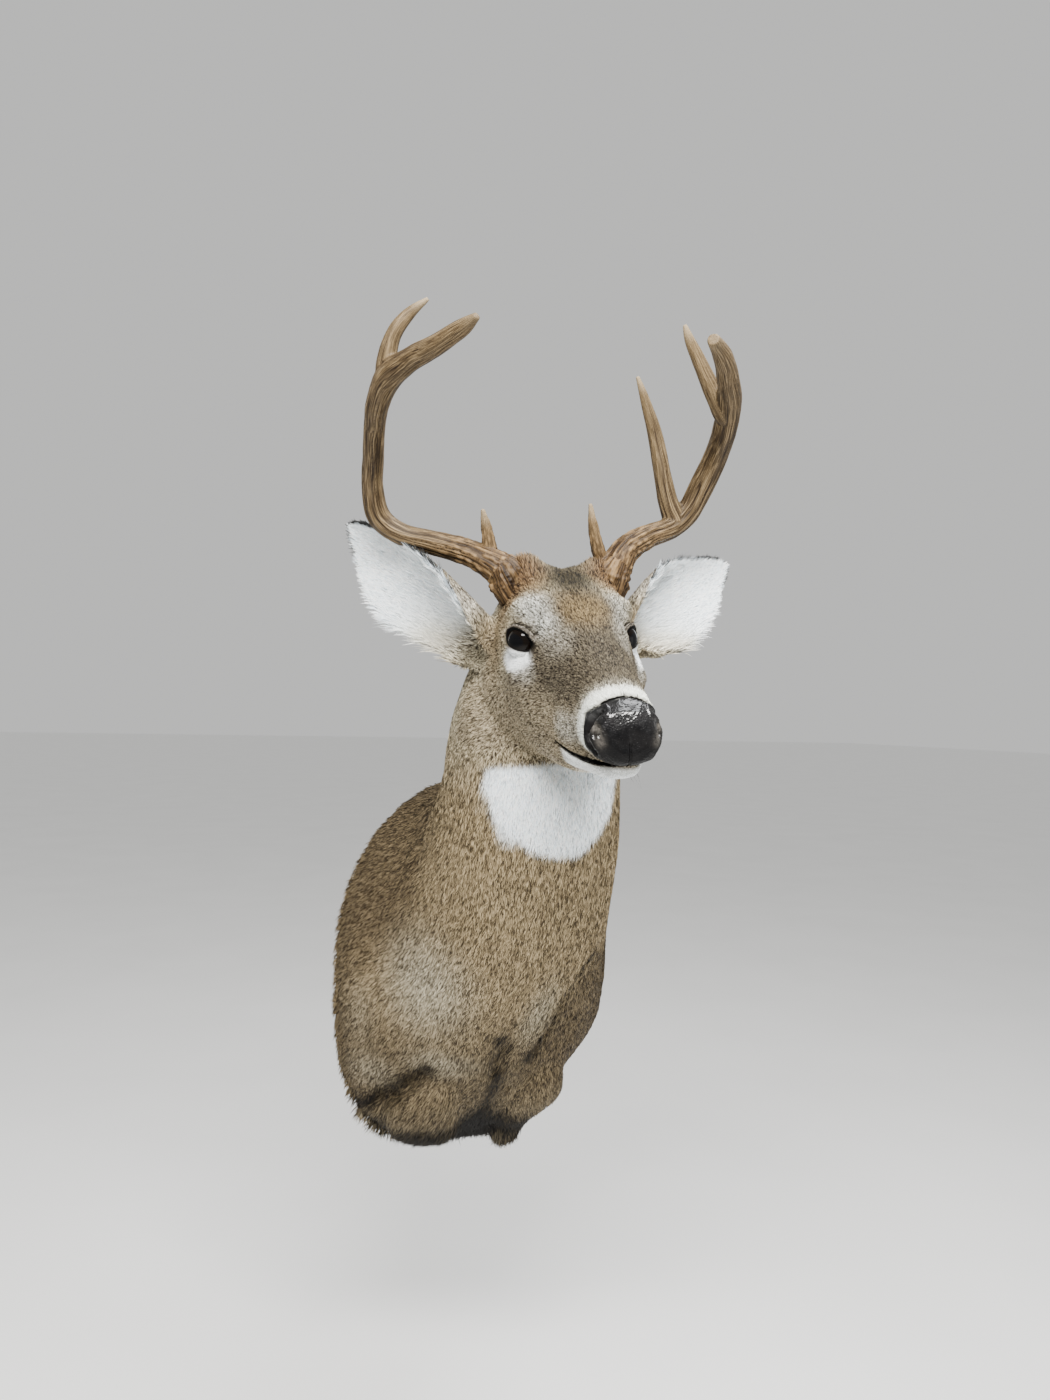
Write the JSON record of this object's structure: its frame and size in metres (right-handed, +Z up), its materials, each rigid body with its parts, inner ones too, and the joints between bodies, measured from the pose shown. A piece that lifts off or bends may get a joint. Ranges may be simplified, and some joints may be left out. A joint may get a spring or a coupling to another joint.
{
  "type": "deer shoulder mount",
  "caption": "Taxidermy whitetail buck shoulder mount: head turned slightly, upright neck, shoulders and branched antlers on a hidden flat backboard.",
  "frame": {"origin": "centre of the body outline on the back face of the backboard, where it meets the wall", "axes": "+Y into the wall, +X to the animal's left, +Z up; the animal looks along -Y, its head turned a little toward -X"},
  "size_m": [0.4308, 0.5113, 0.8694],
  "materials": {
    "body_coat": "short grizzled brown hair lying flat, white throat patch",
    "head_coat": "very short grizzled hair, pale round the eyes and muzzle, dark crown",
    "ear_coat": "white hair inside, brown outside with a dark rim",
    "nose_pad": "pebbled, glossy black",
    "eye": "polished dark brown glass eye with a black pupil",
    "antler": "hard brown antler, grooved and pearled, paler worn tips",
    "board": "bare plywood",
    "hanger": "plain zinc plate"
  },
  "bodies": {
    "root": {"head": "head_coat", "eye_right": "eye", "eye_left": "eye", "nose": "nose_pad", "lower_jaw": "head_coat", "ear_right": "ear_coat", "ear_left": "ear_coat", "antler_right_base": "antler", "antler_right_brow_tine": "antler", "antler_right_beam": "antler", "antler_right_beam_end": "antler", "antler_right_rear_tine": "antler", "antler_left_base": "antler", "antler_left_brow_tine": "antler", "antler_left_beam_lower": "antler", "antler_left_second_tine": "antler", "antler_left_beam_upper": "antler", "antler_left_third_tine": "antler", "antler_left_beam_end": "antler", "trunk": "body_coat", "neck": "body_coat", "leg_stump_right": "body_coat", "leg_stump_left": "body_coat", "backboard": "board", "hanger_plate": "hanger"}
  },
  "joints": []
}
